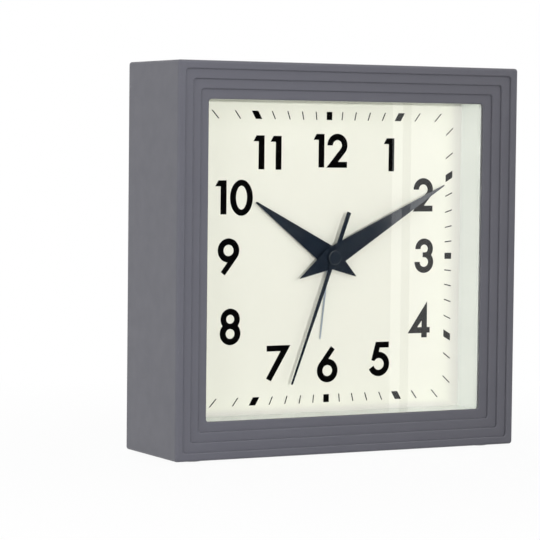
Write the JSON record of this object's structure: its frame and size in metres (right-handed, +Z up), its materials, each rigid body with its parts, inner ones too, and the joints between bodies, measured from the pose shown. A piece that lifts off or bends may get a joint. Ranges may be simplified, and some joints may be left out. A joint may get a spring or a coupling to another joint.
{
  "type": "square alarm mantel clock",
  "caption": "Square table clock with a stepped painted case, flat glass, deep white recess, square-track dial, kite hands and a geared battery alarm movement set by rear knobs.",
  "frame": {"origin": "under the middle of the case, on the surface that the felt pads stand on", "axes": "+Z up, +X to the viewer's right, -Y out of the dial towards the viewer"},
  "size_m": [0.18, 0.0524, 0.181],
  "materials": {
    "case_paint": "grey paint on wood, satin",
    "felt": "dark felt",
    "glass": "clear flat glass",
    "white_liner": "matt off-white",
    "dial_paper": "matt cream print sheet",
    "fibreboard": "bare fibreboard",
    "plain_wood": "bare softwood",
    "screw_steel": "zinc plated",
    "black_plastic": "moulded, fine matt",
    "electrical_steel": "stamped sheet",
    "copper_wire": "lacquered copper wire",
    "rotor_magnet": "plated magnet",
    "white_plastic": "natural moulded plastic",
    "brass": "turned brass",
    "knob_plastic": "moulded, satin",
    "switch_plastic": "moulded, satin",
    "circuit_board": "solder resist",
    "battery_can": "plain shrink sleeve",
    "contact_steel": "nickel plated spring sheet",
    "hand_paint": "dark blue satin paint",
    "alarm_hand_paint": "pale silver paint"
  },
  "bodies": {
    "case": {"front_frame": "case_paint", "left_side": "case_paint", "right_side": "case_paint", "top_board": "case_paint", "base_board": "case_paint", "felt_pads": "felt", "glass": "glass", "dial_liner": "white_liner", "dial_sheet": "dial_paper", "dial_plate": "fibreboard", "corner_blocks": "plain_wood", "back_panel": "fibreboard", "back_screws": "screw_steel", "movement_front_housing": "black_plastic", "movement_rear_housing": "black_plastic", "movement_screws": "screw_steel", "train_bridge": "black_plastic", "stator": "electrical_steel", "coil": "copper_wire", "circuit_board": "circuit_board", "driver_chip": "black_plastic", "quartz_crystal": "screw_steel", "buzzer": "black_plastic", "battery": "battery_can", "positive_contact": "contact_steel", "negative_contact": "contact_steel"},
    "second": {"second_wheel": "white_plastic", "second_hand": "hand_paint"},
    "rotor": {"rotor": "rotor_magnet"},
    "intermediate": {"intermediate_wheel": "white_plastic"},
    "third": {"third_wheel": "white_plastic"},
    "centre": {"centre_wheel": "white_plastic"},
    "minute": {"minute_pipe": "brass", "minute_hand": "hand_paint"},
    "setting_washer": {"setting_washer": "brass"},
    "setting": {"motion_wheel": "white_plastic", "setting_knob": "knob_plastic"},
    "hour_washer": {"hour_washer": "brass"},
    "hour": {"hour_wheel": "white_plastic", "hour_hand": "hand_paint"},
    "alarm": {"alarm_wheel": "white_plastic", "alarm_hand": "alarm_hand_paint"},
    "alarm_setting": {"alarm_arbor": "white_plastic", "alarm_knob": "knob_plastic"},
    "switch": {"alarm_switch": "switch_plastic"}
  },
  "joints": [
    {"name": "second_turn", "type": "hinge", "parent": "case", "child": "second", "pos_m": [0, 0, 0.091], "axis": [0, 1, 0], "continuous": true},
    {"name": "intermediate_turn", "type": "hinge", "parent": "case", "child": "intermediate", "pos_m": [-0.00482, 0, 0.09788], "axis": [0, 1, 0], "continuous": true},
    {"name": "rotor_turn", "type": "hinge", "parent": "case", "child": "rotor", "pos_m": [-0.0121, 0, 0.10208], "axis": [0, 1, 0], "continuous": true},
    {"name": "third_turn", "type": "hinge", "parent": "case", "child": "third", "pos_m": [0.00476, 0, 0.09924], "axis": [0, 1, 0], "continuous": true},
    {"name": "centre_turn", "type": "hinge", "parent": "case", "child": "centre", "pos_m": [0, 0, 0.091], "axis": [0, 1, 0], "continuous": true},
    {"name": "minute_turn", "type": "hinge", "parent": "centre", "child": "minute", "pos_m": [0, 0, 0.091], "axis": [0, 1, 0], "continuous": true},
    {"name": "setting_washer_turn", "type": "hinge", "parent": "case", "child": "setting_washer", "pos_m": [-0.01059, 0, 0.091], "axis": [0, 1, 0], "continuous": true},
    {"name": "setting_turn", "type": "hinge", "parent": "setting_washer", "child": "setting", "pos_m": [-0.01059, 0, 0.091], "axis": [0, 1, 0], "continuous": true},
    {"name": "hour_washer_turn", "type": "hinge", "parent": "case", "child": "hour_washer", "pos_m": [0, 0, 0.091], "axis": [0, 1, 0], "continuous": true},
    {"name": "hour_turn", "type": "hinge", "parent": "hour_washer", "child": "hour", "pos_m": [0, 0, 0.091], "axis": [0, 1, 0], "continuous": true},
    {"name": "alarm_turn", "type": "hinge", "parent": "case", "child": "alarm", "pos_m": [0, 0, 0.091], "axis": [0, 1, 0], "continuous": true},
    {"name": "alarm_setting_turn", "type": "hinge", "parent": "case", "child": "alarm_setting", "pos_m": [0.01073, 0, 0.091], "axis": [0, 1, 0], "continuous": true},
    {"name": "switch_slide", "type": "slide", "parent": "case", "child": "switch", "axis": [1, 0, 0], "range_m": [0, 0.004]}
  ],
  "couplings": [
    {"joint": "intermediate_turn", "follows": "second_turn", "ratio": -5},
    {"joint": "rotor_turn", "follows": "second_turn", "ratio": 30},
    {"joint": "third_turn", "follows": "second_turn", "ratio": -0.13333},
    {"joint": "centre_turn", "follows": "second_turn", "ratio": 0.016667},
    {"joint": "setting_washer_turn", "follows": "second_turn", "ratio": -0.0055556},
    {"joint": "hour_washer_turn", "follows": "second_turn", "ratio": 0.0013889},
    {"joint": "setting_turn", "follows": "minute_turn", "ratio": -0.33333},
    {"joint": "hour_turn", "follows": "minute_turn", "ratio": 0.083333},
    {"joint": "alarm_setting_turn", "follows": "alarm_turn", "ratio": -3}
  ]
}
